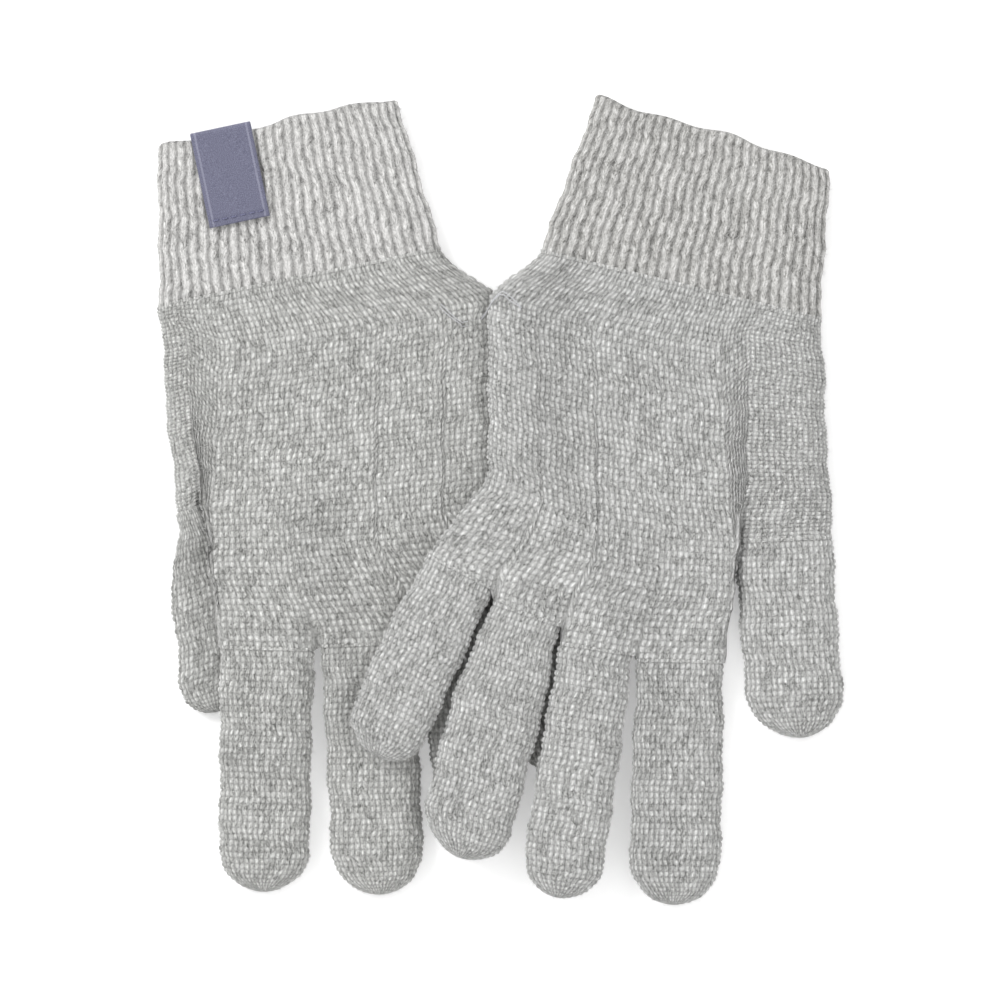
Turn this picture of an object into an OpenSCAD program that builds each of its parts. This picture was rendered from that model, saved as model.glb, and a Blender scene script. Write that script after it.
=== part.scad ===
// A pair of knitted gloves laid flat, the upper glove lapping over the lower one.
// Fingers point along -Y, cuffs along +Y, and the pair rests on the plane z = 0.
// Every knitted section is a hollow tube of fabric, open where it joins the next.

/* [Hand] */
// Flat width of each glove across the hand
palm_w = 105; // [90:1:125]
// Height of the cuff seam's middle above the origin line across the thumbs
seam_y = 67.5; // [50:0.5:85]
// Thickness of a glove lying flat: two layers of fabric and the air between
thick = 9; // [8:0.5:12]
// Thickness of the knitted fabric
fabric_t = 1.7; // [1:0.1:2]
// Radius of the soft fold along each side
edge_r = 7; // [5:0.5:9]

/* [Cuff] */
// Width of the ribbed cuff at its mouth
cuff_w = 76.5; // [65:0.5:90]
// Width of the ribbed cuff where it meets the hand
cuff_base_w = 90; // [76:0.5:104]
// Length of the ribbed cuff
cuff_len = 48; // [30:1:70]

/* [Digit lengths] */
// Length of the thumb from its root
thumb_len = 61; // [45:1:72]
// Length of the index finger from its root
index_len = 75; // [60:1:90]
// Length of the middle finger from its root
middle_len = 77; // [60:1:92]
// Length of the ring finger from its root
ring_len = 77; // [60:1:92]
// Length of the little finger from its root
little_len = 62; // [50:1:75]

/* [Digit widths] */
// Flat width of the thumb
thumb_w = 31; // [25:0.5:36]
// Flat width of the index finger
index_w = 29; // [24:0.5:34]
// Flat width of the middle finger
middle_w = 25.5; // [21:0.5:30]
// Flat width of the ring finger
ring_w = 29; // [24:0.5:34]
// Flat width of the little finger
little_w = 26; // [21:0.5:30]

/* [Lay] */
// Distance between the middles of the two hands
pair_pitch = 100; // [94:0.5:120]
// Gap between fabric surfaces that may move against each other
clear = 0.4; // [0.3:0.05:0.8]
// Height of the lower thumb where it is tucked under its own hand
tuck_h = 6.4; // [5.5:0.1:7]

/* [Label] */
// Width of the woven label
label_w = 19; // [12:0.5:26]
// Length of the label on the outside of the cuff
label_len = 28; // [16:1:36]
// Thickness of the woven label
label_t = 0.6; // [0.4:0.1:1]
// Length of the label turned inside the cuff
label_tail = 18; // [10:1:30]

/* [Threads] */
// Diameter of the sewing thread on the label
stitch_d = 0.5; // [0.3:0.1:0.8]
// Diameter of the thread that pairs the gloves
tack_d = 0.7; // [0.4:0.1:1.2]

/* [Hidden] */

LOWER = 0;
UPPER = 1;
THUMB = 0;
INDEX = 1;
MIDDLE = 2;
RING = 3;
LITTLE = 4;

half_t = thick / 2;
layer_h = thick + clear;

// Where each hand's middle line stands, and which way its thumb points
hand_x = [-pair_pitch / 2 - 2, pair_pitch / 2 - 2];
thumb_dir = [-1, 1];

// Lengths and flat widths of the digits, thumb first
digit_len = [thumb_len, index_len, middle_len, ring_len, little_len];
digit_w = [thumb_w, index_w, middle_w, ring_w, little_w];

// The lower glove's hidden fingers are gathered a little under the upper glove
lay_w = [
    [0.86, 1, 1.15, 0.84, 0.8],
    [1, 1, 1, 1, 1]
];
// They are gathered in length as well, so that they stay hidden
lay_len = [
    [1, 1, 1, 0.92, 0.86],
    [1, 1, 1, 1, 1]
];
// Width of each digit's root beside its flat width
root_k = [
    [0.36, 1.03, 1.03, 1.02, 1.1],
    [1, 0.95, 0.93, 0.8, 0.9]
];
// Angle that each digit leans away from the thumb side, at its root
spread = [
    [18, -1.5, 2, 4, 6],
    [-2.5, 1.5, 9, 18.5, 28]
];
// How far each digit's tip curls back towards the thumb side
curl = [
    [11, -0.5, -0.5, 0, 0],
    [2, 0, 0.5, 4.5, 3.5]
];
// Slope of the line from one finger's root to the next, index to little
root_slope = [[2, 12.5, 19.5], [8.5, 26, 33]];
// Spare width between two neighbouring finger roots
root_gap = [clear + 0.7, clear + 0.3];
// Root of the index finger and of the thumb beside the hand's middle line
index_root = [[20.1, -46.8], [7.2, -50.8]];
thumb_root = [[43.8, -4.6], [39.4, -13.3]];

// Seam between cuff and hand: its middle, its tilt, and the cuff's lean
seam_u = [10.3, 7.3];
seam_dy = [1.2, -1.2];
seam_tilt = [-11.5, -13.6];
cuff_lean = [8.5, 12.5];
mouth_tilt = [-12, -17];

function smooth(t) = let (c = min(1, max(0, t))) c * c * (3 - 2 * c);
function mix(a, b, t) = a + (b - a) * t;
function puff(d, r) = d >= r ? 1 : sqrt(max(0, 1 - pow(1 - d / r, 2)));
function place(g, p) = [hand_x[g] + thumb_dir[g] * p.x, p.y];
function across(a) = [cos(a), sin(a)];
function along(a) = [sin(a), -cos(a)];

// ---- digits ----
function width(g, d) = digit_w[d] * lay_w[g][d];
function length(g, d) = digit_len[d] * lay_len[g][d];
function root_w(g, d) = width(g, d) * root_k[g][d];
function step(g, d) = let (
    s = root_slope[g][d - MIDDLE],
    w = (root_w(g, d - 1) + root_w(g, d)) / 2 + root_gap[g]
) [-w * cos(s), w * sin(s)];
function root_local(g, d) =
    d == THUMB ? thumb_root[g] :
    d == INDEX ? index_root[g] : root_local(g, d - 1) + step(g, d);
function root(g, d) = place(g, root_local(g, d));
function angle(g, d) = -thumb_dir[g] * spread[g][d];

// ---- how high the fabric lies over what is under it ----
thumb_mid = root(LOWER, THUMB);
tuck_x = thumb_mid.x + width(LOWER, THUMB) + 2;
tuck_fade = 24;
tuck_start = thumb_mid.y + 22;
tuck_end = thumb_mid.y - thumb_len - 3;
function over_thumb(p) = (tuck_h + 3 * clear)
    * (1 - smooth((p.x - tuck_x) / tuck_fade))
    * smooth((tuck_start - p.y) / 21)
    * (1 - smooth((tuck_end - p.y) / 22));

palm_edge = hand_x[LOWER] + palm_w / 2 + 1.5;
little_edge = root(LOWER, LITTLE).x + width(LOWER, LITTLE) / 2 + 8;
slope_w = 28;
lap_top = seam_y - 5;
function lap_x(y) = mix(palm_edge, little_edge, smooth((12 - y) / 34));
function over_glove(p) = layer_h
    * (1 - smooth((p.x - lap_x(p.y)) / slope_w))
    * smooth((lap_top + 26 - p.y) / 26);

FLAT = 0;
TUCKED = 1;
LAPPED = 2;
function lift(p, lay) =
    lay == TUCKED ? over_thumb(p) : lay == LAPPED ? over_glove(p) : 0;

// ---- tubes ----
function columns(hw, r) = let (a = 1 - 0.16 * r / hw, b = 1 - 0.6 * r / hw)
    [-1, -a, -b, -b / 2, 0, b / 2, b, a, 1];

// One closed ring of 16 points round a flat tube: top from left to right, then back
function ring(c, a, hw, ht, z, r, lay) = let (
    rr = min(r, hw * 0.98),
    s = columns(hw, rr),
    p = [for (k = [0:8]) c + across(a) * s[k] * hw],
    h = [for (k = [0:8]) ht * puff(hw * (1 - abs(s[k])), rr)]
) concat(
    [for (k = [0:8]) [p[k].x, p[k].y, z + h[k] + lift(p[k], lay)]],
    [for (k = [7:-1:1]) [p[k].x, p[k].y, z - h[k] + lift(p[k], lay)]]
);

function skin(o, n, m, inward) = [
    for (j = [0:m - 2], i = [0:n - 1])
        let (a = o + j * n + i, b = o + j * n + (i + 1) % n)
            each (inward ? [[a, b + n, b], [a, a + n, b + n]]
                         : [[a, b, b + n], [a, b + n, a + n]])
];
function band(o, i, n, far) = [
    for (k = [0:n - 1])
        let (a = o + k, b = o + (k + 1) % n, c = i + (k + 1) % n, d = i + k)
            each (far ? [[a, b, c], [a, c, d]] : [[a, c, b], [a, d, c]])
];

// A hollow tube, open at its first ring and closed or open at its last
module tube(outer, inner, closed) {
    m = len(outer);
    n = len(outer[0]);
    points = [for (ring = outer) each ring, for (ring = inner) each ring];
    last = (m - 1) * n;
    far_end = closed
        ? [[for (i = [0:n - 1]) last + i], [for (i = [n - 1:-1:0]) m * n + last + i]]
        : band(last, m * n + last, n, true);
    polyhedron(points, concat(
        skin(0, n, m, false),
        skin(m * n, n, m, true),
        band(0, m * n, n, false),
        far_end
    ));
}

// Stations along a digit: shares of its straight part, then of its rounded tip
body_at = [0, 0.2, 0.45, 0.75, 1];
tip_at = [0.5, 0.8, 0.95, 0.997];

function digit_rings(g, d, inset, lay, ht) = let (
    l = length(g, d),
    w = width(g, d) / 2,
    rw = root_w(g, d) / 2,
    tip = w * 0.95,
    a = angle(g, d),
    body = l - tip,
    at = concat(
        [for (t = body_at) [t * body, 1, 1]],
        [for (q = tip_at) [
            body + (tip - inset) * q,
            sqrt(1 - q * q),
            puff((tip - inset) * (1 - q), edge_r - inset)
        ]]
    )
) [for (s = at) let (
    c = root(g, d) + along(a) * s[0]
        + across(a) * thumb_dir[g] * curl[g][d] * pow(s[0] / l, 2),
    hw = (mix(rw, w, smooth(s[0] / body / 0.5)) - inset) * s[1]
) ring(c, a, hw, (ht - inset) * s[2], ht, edge_r - inset, lay)];

module digit(g, d, lay, ht = half_t) {
    tube(digit_rings(g, d, 0, lay, ht), digit_rings(g, d, fabric_t, lay, ht), true);
}

// ---- cuffs ----
function seam_mid(g) = place(g, [seam_u[g], seam_y + seam_dy[g]]);
function mouth_mid(g) = seam_mid(g)
    + cuff_len * [thumb_dir[g] * sin(cuff_lean[g]), cos(cuff_lean[g])];
function cuff_rings(g, inset, lay) = [
    for (t = [1, 0.66, 0.33, 0]) ring(
        mix(seam_mid(g), mouth_mid(g), t),
        thumb_dir[g] * mix(seam_tilt[g], mouth_tilt[g], t),
        mix(cuff_base_w, cuff_w, t) / 2 - inset,
        half_t - inset, half_t, edge_r - inset, lay
    )
];
module cuff(g, lay) {
    tube(cuff_rings(g, 0, lay), cuff_rings(g, fabric_t, lay), false);
}

// ---- hands ----
// Each opening is a little narrower than the digit's root, and stands back from it
corner_relief = 0.7;
root_clear = 5 * clear;
// A digit's opening in the hand: points across its root, little side to thumb side.
// pull moves them back from the digit, and inset narrows the opening.
function slot(g, d, shares, pull, inset) = let (
    w = root_w(g, d) / 2 - corner_relief - inset,
    a = angle(g, d)
) [for (s = shares) root(g, d) + across(a) * thumb_dir[g] * s * w - along(a) * pull];

function near_edge(g, d, k) = 1 - k * edge_r / (root_w(g, d) / 2);
function little_shares(g) =
    [-1, -near_edge(g, LITTLE, 0.16), -near_edge(g, LITTLE, 0.6), 0.4, 1];
function thumb_shares(g) = g == LOWER
    ? [-1, -0.3, 0.3, 0.75, 1]
    : [-1, -0.4, near_edge(g, THUMB, 0.6), near_edge(g, THUMB, 0.16), 1];

// The hand's far edge from the little finger to the thumb, column by column.
// The ones between index finger and thumb run up to the crotch.
crotch_cols = 3;
function far_edge(g, pull, inset) = let (
    index = slot(g, INDEX, [-1, 0, 1], pull, inset),
    thumb = slot(g, THUMB, thumb_shares(g), pull, inset),
    crotch = thumb[0] - [thumb_dir[g] * (corner_relief + clear + 2 * inset), 0.3]
) concat(
    slot(g, LITTLE, little_shares(g), pull, inset),
    slot(g, RING, [-1, 0, 1], pull, inset),
    slot(g, MIDDLE, [-1, 0, 1], pull, inset),
    index,
    [for (k = [1:crotch_cols]) mix(index[2], crotch, k / crotch_cols)],
    thumb
);
// First and last column of each opening
thumb_col = 14 + crotch_cols;
holes = [[0, 4], [5, 7], [8, 10], [11, 13], [thumb_col, thumb_col + 4]];
cols = thumb_col + 5;

function seam_end(g, s) = seam_mid(g)
    + across(thumb_dir[g] * seam_tilt[g]) * thumb_dir[g] * s * cuff_base_w / 2;

// Side edges of the hand, t from 0 at the seam to 1 at the digits
function little_side(g, t) = let (
    a = seam_end(g, -1), b = slot(g, LITTLE, [-1], root_clear, 0)[0],
    palm = place(g, [-palm_w / 2, 0]).x,
    flare = smooth(t / 0.17), fan = smooth((t - 0.7) / 0.33)
) [mix(mix(a.x, palm, flare), b.x, fan), mix(a.y, b.y, t)];
function thumb_side(g, t) = let (
    a = seam_end(g, 1), b = slot(g, THUMB, [1], root_clear, 0)[0],
    palm = place(g, [palm_w / 2, 0]).x
) [mix(mix(a.x, palm, smooth(t / 0.3)), b.x, smooth((t - 0.4) / 0.6)), mix(a.y, b.y, t)];

rows_at = [0, 0.08, 0.17, 0.35, 0.6, 0.84, 1];

// Distance travelled along a list of points, at each of them
function travel(points, i = 0, so_far = 0) = i == len(points) - 1 ? [so_far]
    : concat([so_far], travel(points, i + 1, so_far + norm(points[i + 1] - points[i])));

// How far across the hand each column starts, from 0 to 1: partly by its distance
// across and partly by its distance along the far edge, so that no column crosses
by_travel = 0.45;
function shares(far) = let (arc = travel(far), end = cols - 1) [
    for (k = [0:end]) mix(
        (far[k] - far[0]).x / (far[end] - far[0]).x, arc[k] / arc[end], by_travel
    )
];

// One row of the hand: plan points of its 20 columns, and each one's depth from an edge
function hand_row(g, t, inset) = let (
    far = far_edge(g, root_clear, 0),
    l = little_side(g, t), r = thumb_side(g, t),
    w = norm(r - l),
    share = shares(far)
) [for (k = [0:cols - 1]) let (
    f = share[k],
    fi = (inset + f * (w - 2 * inset)) / w,
    straight = mix(l, r, fi),
    bow = (far[k] - mix(far[0], far[cols - 1], f)) * t
) [straight + bow, min(fi, 1 - fi) * w - inset]];

function hand_ring(row, ht, r, lay) = let (
    h = [for (q = row) ht * puff(q[1], r)]
) concat(
    [for (k = [0:cols - 1]) let (p = row[k][0]) [p.x, p.y, half_t + h[k] + lift(p, lay)]],
    [for (k = [cols - 2:-1:1]) let (p = row[k][0]) [p.x, p.y, half_t - h[k] + lift(p, lay)]]
);

function edge_row(g, pull, inset) = let (
    last = hand_row(g, 1, inset), far = far_edge(g, pull, inset)
) [for (k = [0:cols - 1]) [far[k], max(0, last[k][1])]];

function top(k) = k;
function under(k) = k == 0 || k == cols - 1 ? k : 2 * cols - 2 - k;

module hand(g, lay) {
    n = 2 * cols - 2;
    m = len(rows_at);
    r_in = edge_r - fabric_t;
    outer = [
        for (t = rows_at)
            hand_ring(t < 1 ? hand_row(g, t, 0) : edge_row(g, root_clear, 0), half_t, edge_r, lay)
    ];
    // The cavity stops one fabric thickness short of the webs between the digits,
    // and a short tunnel leads from there into each digit.
    inner = concat(
        [for (t = [for (q = rows_at) if (q < 1) q])
            hand_ring(hand_row(g, t, fabric_t), half_t - fabric_t, r_in, lay)],
        [for (pull = [root_clear + fabric_t, root_clear])
            hand_ring(edge_row(g, pull, fabric_t), half_t - fabric_t, r_in, lay)]
    );
    io = m * n;
    end_o = (m - 1) * n;
    wall_i = io + (m - 1) * n;
    end_i = io + m * n;
    opened = [for (h = holes) each [for (k = [h[0]:h[1] - 1]) k]];
    webs = [for (k = [0:cols - 2]) if (len(search(k, opened)) == 0) k];
    corners = [for (h = holes) each [[h[0], 1], [h[1], -1]]];
    inside_corners = [for (c = corners) if (c[0] != 0 && c[0] != cols - 1) c];
    raw = concat(
        skin(0, n, m, false),
        skin(io, n, m, true),
        band(0, io, n, false),
        [for (k = opened) each [
            [end_o + top(k), end_o + top(k + 1), end_i + top(k + 1), end_i + top(k)],
            [end_o + under(k + 1), end_o + under(k), end_i + under(k), end_i + under(k + 1)],
            [wall_i + top(k + 1), wall_i + top(k), end_i + top(k), end_i + top(k + 1)],
            [wall_i + under(k), wall_i + under(k + 1), end_i + under(k + 1), end_i + under(k)]
        ]],
        [for (k = webs) each [
            [end_o + top(k), end_o + top(k + 1), end_o + under(k + 1), end_o + under(k)],
            [wall_i + top(k + 1), wall_i + top(k), wall_i + under(k), wall_i + under(k + 1)]
        ]],
        [for (c = inside_corners) let (
            k = c[0],
            cap = [end_o + top(k), end_i + top(k), end_i + under(k), end_o + under(k)],
            jamb = [wall_i + under(k), wall_i + top(k), end_i + top(k), end_i + under(k)]
        ) each (c[1] > 0
            ? [cap, [jamb[3], jamb[2], jamb[1], jamb[0]]]
            : [[cap[3], cap[2], cap[1], cap[0]], jamb])]
    );
    faces = [for (f = raw) each (
        len(f) == 3 ? [f] : [[f[0], f[1], f[2]], [f[0], f[2], f[3]]]
    )];
    // Columns run from the little finger, so the lower glove's are mirrored
    polyhedron(
        [for (q = outer) each q, for (q = inner) each q],
        thumb_dir[g] > 0 ? faces : [for (f = faces) [f[2], f[1], f[0]]]
    );
}

// ---- label ----
// Place of the label along the cuff's mouth, from the mouth's middle
label_at = -17.5;
label_rest = 0.15;
label_stitches_n = 6;
stitch_len = 1.9;
stitch_margin = 2;

// Puts a child in the frame of the lower cuff's mouth: x across, y out of the cuff
module at_mouth() {
    translate([mouth_mid(LOWER).x, mouth_mid(LOWER).y, 0])
        rotate([0, 0, -mouth_tilt[LOWER]])
            translate([label_at, 0, 0]) children();
}

label_r = fabric_t / 2 + label_rest;
label_z = thick - fabric_t / 2;
label_out = 0.3;

// The label's folded profile: y along the cuff, z up
module label_profile() {
    translate([-label_len, label_z + label_r]) square([label_len + label_out, label_t]);
    translate([-label_tail, label_z - label_r - label_t])
        square([label_tail + label_out, label_t]);
    translate([label_out, label_z]) intersection() {
        difference() {
            circle(r = label_r + label_t, $fn = 48);
            circle(r = label_r, $fn = 48);
        }
        translate([0, -thick]) square([thick, 2 * thick]);
    }
}
module label_band() {
    at_mouth() rotate([90, 0, 90])
        linear_extrude(height = label_w, center = true) label_profile();
}

// A thread with flat ends, swept along a list of points with eight sides
thread_sides = 8;
thread_ref = [0.3, 1, 0.1];
function unit(v) = v / norm(v);
function thread_ring(points, i, d) = let (
    t = unit(points[min(i + 1, len(points) - 1)] - points[max(i - 1, 0)]),
    u = unit(cross(t, thread_ref)),
    w = cross(u, t)
) [for (k = [0:thread_sides - 1]) let (a = 360 * k / thread_sides)
    points[i] + (cos(a) * u + sin(a) * w) * d / 2];
module thread(points, d) {
    m = len(points);
    n = thread_sides;
    polyhedron(
        [for (i = [0:m - 1]) each thread_ring(points, i, d)],
        concat(
            skin(0, n, m, false),
            [[for (k = [n - 1:-1:0]) k], [for (k = [0:n - 1]) (m - 1) * n + k]]
        )
    );
}
module stitch_row() {
    pitch = (label_w - stitch_margin) / label_stitches_n;
    z = label_z + label_r + label_t + stitch_d / 2;
    at_mouth() for (i = [0:label_stitches_n - 1])
        translate([(i + 0.5) * pitch - label_w / 2 + stitch_margin / 2, 0, 0])
            translate([0, stitch_margin - label_len, z]) rotate([0, 90, 0])
                cylinder(h = stitch_len, d = stitch_d, center = true, $fn = 24);
}

// ---- pairing thread ----
// The gloves turn about the tack, just off the upper hand's edge
tack = place(UPPER, [-palm_w / 2 - 1.6, seam_y - 7.5]);
tack_low = thick + clear / 2 + tack_d / 2;
tack_mid = layer_h + half_t;
tack_top = layer_h + thick + clear / 2 + tack_d / 2;
lower_strand = [
    [tack.x - 12.8, tack.y - 0.6, tack_low],
    [tack.x - 6.2, tack.y - 5.6, tack_low],
    [tack.x - 1.6, tack.y - 3.6, tack_low],
    [tack.x, tack.y, tack_low],
    [tack.x, tack.y, tack_mid - clear / 2 - tack_d / 2]
];
upper_strand = [
    [tack.x, tack.y, tack_mid + clear / 2 + tack_d / 2],
    [tack.x + 0.6, tack.y + 0.2, tack_top - 1],
    [tack.x + 2.6, tack.y + 1.2, tack_top],
    [tack.x + 6.4, tack.y + 2.6, tack_top],
    [tack.x + 11.8, tack.y - 0.8, tack_top]
];

lower_colour = "Silver";
upper_colour = "Gainsboro";
rib_colour = "LightGray";
label_colour = "LightSlateGray";
thread_colour = "Lavender";

module lower_cuff() { color(rib_colour) cuff(LOWER, FLAT); }
module lower_hand() { color(lower_colour) hand(LOWER, TUCKED); }
module lower_thumb() { color(lower_colour) digit(LOWER, THUMB, FLAT, tuck_h / 2); }
module lower_index() { color(lower_colour) digit(LOWER, INDEX, TUCKED); }
module lower_middle() { color(lower_colour) digit(LOWER, MIDDLE, TUCKED); }
module lower_ring() { color(lower_colour) digit(LOWER, RING, FLAT); }
module lower_little() { color(lower_colour) digit(LOWER, LITTLE, FLAT); }
module upper_cuff() { color(rib_colour) cuff(UPPER, LAPPED); }
module upper_hand() { color(upper_colour) hand(UPPER, LAPPED); }
module upper_thumb() { color(upper_colour) digit(UPPER, THUMB, LAPPED); }
module upper_index() { color(upper_colour) digit(UPPER, INDEX, LAPPED); }
module upper_middle() { color(upper_colour) digit(UPPER, MIDDLE, LAPPED); }
module upper_ring() { color(upper_colour) digit(UPPER, RING, LAPPED); }
module upper_little() { color(upper_colour) digit(UPPER, LITTLE, LAPPED); }
module woven_label() { color(label_colour) label_band(); }
module label_stitches() { color(thread_colour) stitch_row(); }
module pairing_thread_lower() { color(thread_colour) thread(lower_strand, tack_d); }
module pairing_thread_upper() { color(thread_colour) thread(upper_strand, tack_d); }

lower_cuff();
lower_hand();
lower_thumb();
lower_index();
lower_middle();
lower_ring();
lower_little();
upper_cuff();
upper_hand();
upper_thumb();
upper_index();
upper_middle();
upper_ring();
upper_little();
woven_label();
label_stitches();
pairing_thread_lower();
pairing_thread_upper();
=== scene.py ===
"""A pair of heather-grey knitted gloves laid flat, the upper one lapping over the lower one.

Every knitted section is a closed shell of fabric with its stitches in the mesh: one ridge for
each leg of each V, ribs on the cuffs, and short loose fibres standing out of the yarn. Shapes
are worked out in millimetres, in the frame of the CAD, and go to Blender in metres.
"""

import math

import bpy
import numpy as np
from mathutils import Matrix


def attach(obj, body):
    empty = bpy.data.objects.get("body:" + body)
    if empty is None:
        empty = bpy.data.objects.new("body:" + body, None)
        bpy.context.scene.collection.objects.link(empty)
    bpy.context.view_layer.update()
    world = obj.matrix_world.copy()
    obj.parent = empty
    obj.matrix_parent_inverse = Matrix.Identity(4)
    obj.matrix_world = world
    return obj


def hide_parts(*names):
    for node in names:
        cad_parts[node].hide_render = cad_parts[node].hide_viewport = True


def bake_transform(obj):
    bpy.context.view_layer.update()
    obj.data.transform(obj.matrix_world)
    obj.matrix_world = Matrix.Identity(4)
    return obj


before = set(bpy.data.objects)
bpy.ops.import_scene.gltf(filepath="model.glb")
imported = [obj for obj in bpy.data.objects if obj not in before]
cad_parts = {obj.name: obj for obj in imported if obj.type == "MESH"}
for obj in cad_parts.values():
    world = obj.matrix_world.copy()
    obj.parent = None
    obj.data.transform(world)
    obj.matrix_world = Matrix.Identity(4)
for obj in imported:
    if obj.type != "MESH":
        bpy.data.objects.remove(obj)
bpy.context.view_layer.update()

MM = 0.001
SEED = 41

# ---------------------------------------------------------------- camera
CAMERA_HEIGHT = 1.9
VIEW_WIDTH = 0.31
VIEW_X = -0.00047
VIEW_Y = -0.00062
SENSOR = 36.0


def add_camera():
    data = bpy.data.cameras.new("camera")
    data.sensor_width = SENSOR
    data.lens = SENSOR * CAMERA_HEIGHT / VIEW_WIDTH
    data.dof.use_dof = False
    camera = bpy.data.objects.new("camera", data)
    camera.location = (VIEW_X, VIEW_Y, CAMERA_HEIGHT)
    bpy.context.collection.objects.link(camera)
    bpy.context.scene.camera = camera


add_camera()

# ---------------------------------------------------------------- sizes, as the CAD has them
LOWER, UPPER = 0, 1
THUMB, INDEX, MIDDLE, RING, LITTLE = range(5)
GLOVE = ["lower", "upper"]
DIGIT = ["thumb", "index", "middle", "ring", "little"]

PALM_W = 105.0
SEAM_Y = 67.5
HALF_T = 4.5
FABRIC_T = 1.7
EDGE_R = 7.0
CUFF_W = 76.5
CUFF_BASE_W = 90.0
CUFF_LEN = 48.0
PAIR_PITCH = 100.0
CLEAR = 0.4
TUCK_H = 6.4
LAYER_H = 2 * HALF_T + CLEAR
HAND_X = [-PAIR_PITCH / 2 - 2, PAIR_PITCH / 2 - 2]
THUMB_DIR = [-1, 1]
DIGIT_LEN = [61, 75, 77, 77, 62]
DIGIT_W = [31, 29, 25.5, 29, 26]
LAY_LEN = [[1, 1, 1, 0.92, 0.86], [1, 1, 1, 1, 1]]
LAY_W = [[0.86, 1, 1.15, 0.84, 0.8], [1, 1, 1, 1, 1]]
ROOT_K = [[0.36, 1.03, 1.03, 1.02, 1.1], [1, 0.95, 0.93, 0.8, 0.9]]
SPREAD = [[18, -1.5, 2, 4, 6], [-2.5, 1.5, 9, 18.5, 28]]
CURL = [[11, -0.5, -0.5, 0, 0], [2, 0, 0.5, 4.5, 3.5]]
ROOT_SLOPE = [[2, 12.5, 19.5], [8.5, 26, 33]]
ROOT_GAP = [CLEAR + 0.7, CLEAR + 0.3]
INDEX_ROOT = [[20.1, -46.8], [7.2, -50.8]]
THUMB_ROOT = [[43.8, -4.6], [39.4, -13.3]]
SEAM_U = [10.3, 7.3]
SEAM_DY = [1.2, -1.2]
SEAM_TILT = [-11.5, -13.6]
CUFF_LEAN = [8.5, 12.5]
MOUTH_TILT = [-12, -17]


def smooth(t):
    c = np.clip(t, 0, 1)
    return c * c * (3 - 2 * c)


def mix(a, b, t):
    return a + (b - a) * t


def puff(depth, radius):
    """Height, from 0 to 1, of a soft round edge at this depth in from it."""
    return np.sqrt(np.maximum(0, 1 - (1 - np.clip(depth / radius, 0, 1)) ** 2))


def across(degrees):
    return np.array([math.cos(math.radians(degrees)), math.sin(math.radians(degrees))])


def along(degrees):
    return np.array([math.sin(math.radians(degrees)), -math.cos(math.radians(degrees))])


def place(g, x, y):
    return np.array([HAND_X[g] + THUMB_DIR[g] * x, y])


def width(g, d):
    return DIGIT_W[d] * LAY_W[g][d]


def root_width(g, d):
    return width(g, d) * ROOT_K[g][d]


def root_local(g, d):
    if d == THUMB:
        return np.array(THUMB_ROOT[g])
    if d == INDEX:
        return np.array(INDEX_ROOT[g])
    slope = math.radians(ROOT_SLOPE[g][d - MIDDLE])
    step = (root_width(g, d - 1) + root_width(g, d)) / 2 + ROOT_GAP[g]
    return root_local(g, d - 1) + step * np.array([-math.cos(slope), math.sin(slope)])


def root(g, d):
    return place(g, *root_local(g, d))


def lean(g, d):
    return -THUMB_DIR[g] * SPREAD[g][d]


def seam_mid(g):
    return place(g, SEAM_U[g], SEAM_Y + SEAM_DY[g])


def mouth_mid(g):
    lean_of_cuff = math.radians(CUFF_LEAN[g])
    way = np.array([THUMB_DIR[g] * math.sin(lean_of_cuff), math.cos(lean_of_cuff)])
    return seam_mid(g) + CUFF_LEN * way


# ---------------------------------------------------------------- how high the fabric lies
THUMB_MID = root(LOWER, THUMB)
TUCK_X = THUMB_MID[0] + width(LOWER, THUMB) + 2
TUCK_FADE = 24
TUCK_RISE = 21
TUCK_FALL = 22
TUCK_START = THUMB_MID[1] + 22
TUCK_END = THUMB_MID[1] - DIGIT_LEN[THUMB] - 3
PALM_EDGE = HAND_X[LOWER] + PALM_W / 2 + 1.5
LITTLE_EDGE = root(LOWER, LITTLE)[0] + width(LOWER, LITTLE) / 2 + 8
SLOPE_W = 28
LAP_TOP = SEAM_Y - 5
LAP_RISE = 26
LAP_TURN_Y = 12
LAP_TURN_LEN = 34


def over_thumb(x, y):
    """Lift of the lower palm and fingers where the glove's own thumb is tucked under them."""
    side = 1 - smooth((x - TUCK_X) / TUCK_FADE)
    ends = smooth((TUCK_START - y) / TUCK_RISE) * (1 - smooth((TUCK_END - y) / TUCK_FALL))
    return (TUCK_H + 3 * CLEAR) * side * ends


def over_glove(x, y):
    """Lift of the upper glove where it lies on the lower one."""
    lap_x = mix(PALM_EDGE, LITTLE_EDGE, smooth((LAP_TURN_Y - y) / LAP_TURN_LEN))
    top = smooth((LAP_TOP + LAP_RISE - y) / LAP_RISE)
    return LAYER_H * (1 - smooth((x - lap_x) / SLOPE_W)) * top


def flat(x, y):
    return 0 * x


def lie_of(g, d=None):
    """What the digit, or the hand when d is None, lies on."""
    if g == UPPER:
        return over_glove
    return over_thumb if d in (None, INDEX, MIDDLE) else flat


# ---------------------------------------------------------------- knitting
WALE = 3.0
COURSE = 1.9
RIB = 2.9
SLANT = 0.8
LEG_DEPTH = 0.8
RIB_DEPTH = 1.15
RUMPLE = 0.14
SWAY = 0.3
OVERLAP = 1.0
DIGIT_SEED = SEED
CUFF_SEED = SEED + 30
HAND_SEED = SEED + 50


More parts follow.
